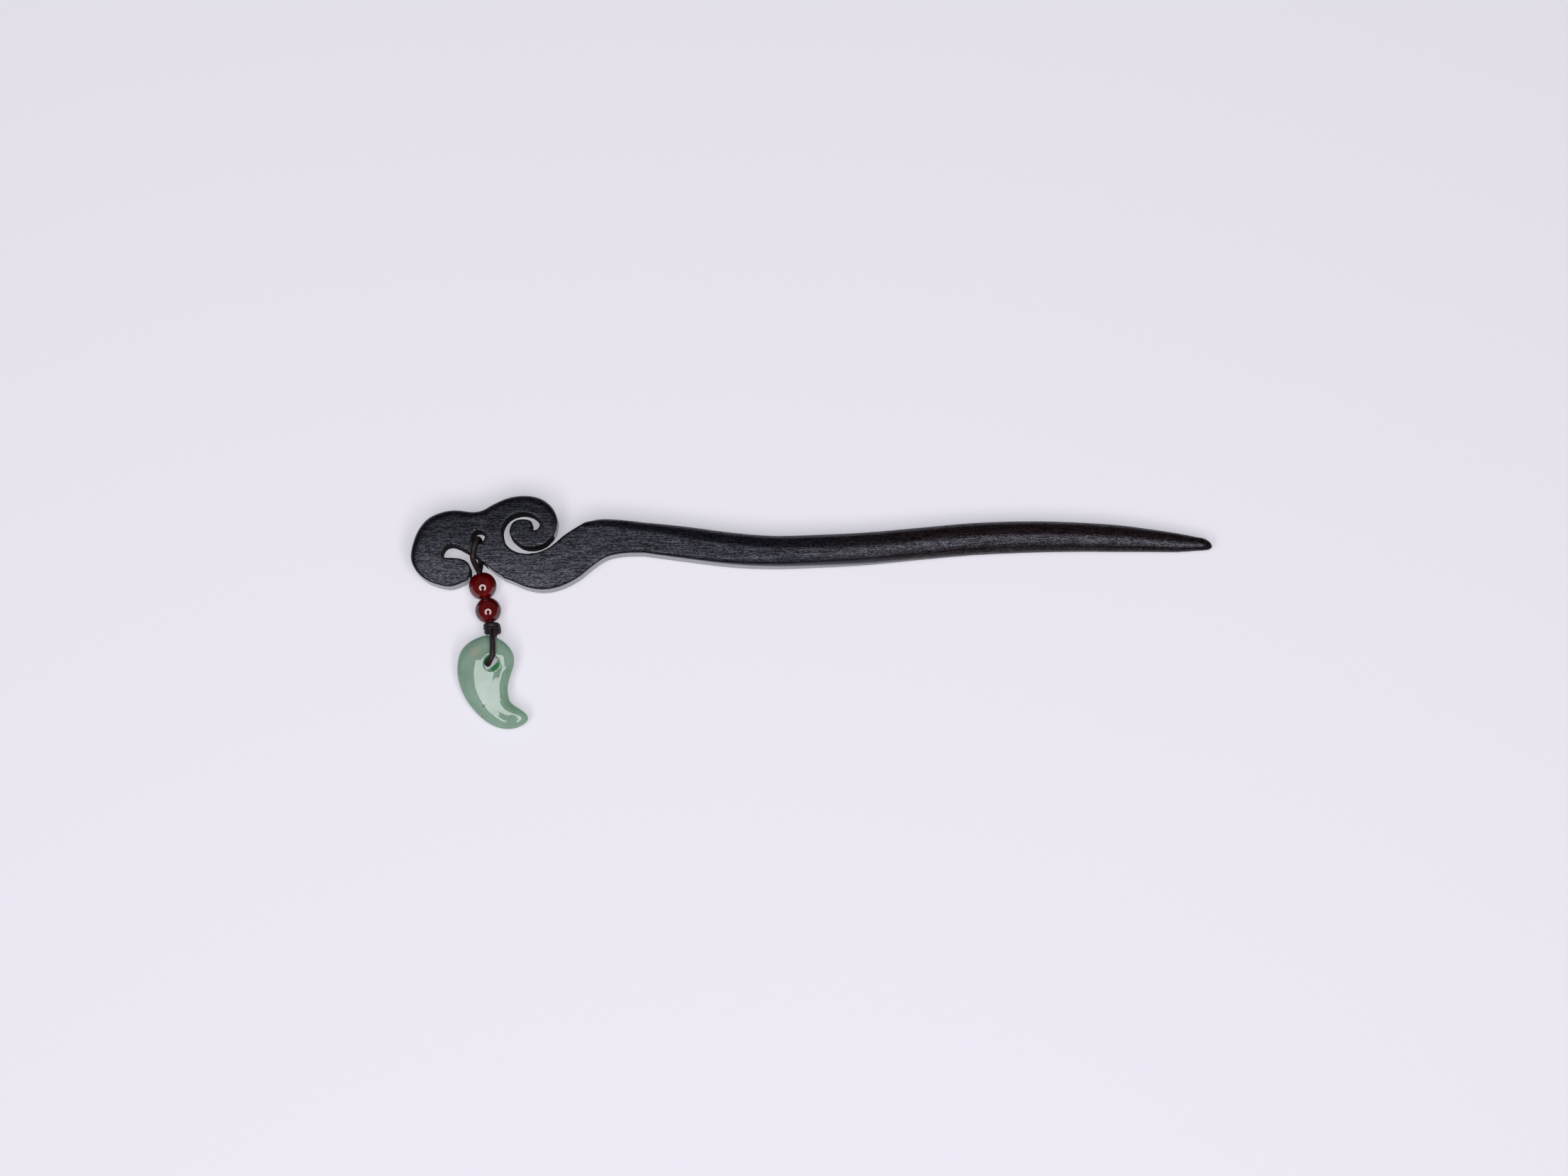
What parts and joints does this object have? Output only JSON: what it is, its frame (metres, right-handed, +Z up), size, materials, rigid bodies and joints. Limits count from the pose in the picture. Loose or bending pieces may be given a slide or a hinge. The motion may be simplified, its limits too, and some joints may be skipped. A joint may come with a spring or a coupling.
{
  "type": "hair stick",
  "caption": "Carved cloud-head hair stick with a tapered shaft and a dangle of agate beads, a wrapped knot and a jade comma pendant on cord.",
  "frame": {"origin": "on the flat underside, near the middle of the stick's length", "axes": "+X along the stick towards its tip, +Y across the board away from the pendant, +Z up through the board's thickness"},
  "size_m": [0.179, 0.052, 0.0085],
  "materials": {
    "ebony": "satin blackwood with a fine lengthwise grain, oiled and waxed",
    "cord": "round braided waxed cord, dark brown",
    "agate": "polished red agate, close to opaque",
    "jade": "polished pale green jade, cloudy and close to opaque"
  },
  "bodies": {
    "stick": {"hair_stick": "ebony"},
    "loop": {"head_loop": "cord"},
    "dangle": {"bead_cord": "cord", "knot": "cord"},
    "upper_bead": {"upper_bead": "agate"},
    "lower_bead": {"lower_bead": "agate"},
    "pendant_loop": {"pendant_loop": "cord"},
    "pendant": {"jade_pendant": "jade"}
  },
  "joints": [
    {"name": "loop_sway", "type": "hinge", "parent": "stick", "child": "loop", "pos_m": [-0.0744, 0.0026, 0.0035], "axis": [0, 0, 1], "range_deg": [-1, 2.5]},
    {"name": "dangle_lift", "type": "hinge", "parent": "loop", "child": "dangle", "pos_m": [-0.0744, -0.0013, 0.0048], "axis": [-1, 0, 0], "range_deg": [0, 120]},
    {"name": "upper_bead_spin", "type": "hinge", "parent": "dangle", "child": "upper_bead", "pos_m": [-0.0736, -0.008, 0.0031], "axis": [0.225, -0.9744, 0], "continuous": true},
    {"name": "lower_bead_spin", "type": "hinge", "parent": "dangle", "child": "lower_bead", "pos_m": [-0.0736, -0.008, 0.0031], "axis": [0.225, -0.9744, 0], "continuous": true},
    {"name": "pendant_flex", "type": "hinge", "parent": "dangle", "child": "pendant_loop", "pos_m": [-0.0712, -0.0186, 0.0035], "axis": [-1, 0, 0], "range_deg": [-25, 15]},
    {"name": "pendant_swing", "type": "hinge", "parent": "pendant_loop", "child": "pendant", "pos_m": [-0.0713, -0.0257, 0.00375], "axis": [0, 0, 1], "range_deg": [-5, 60]}
  ]
}
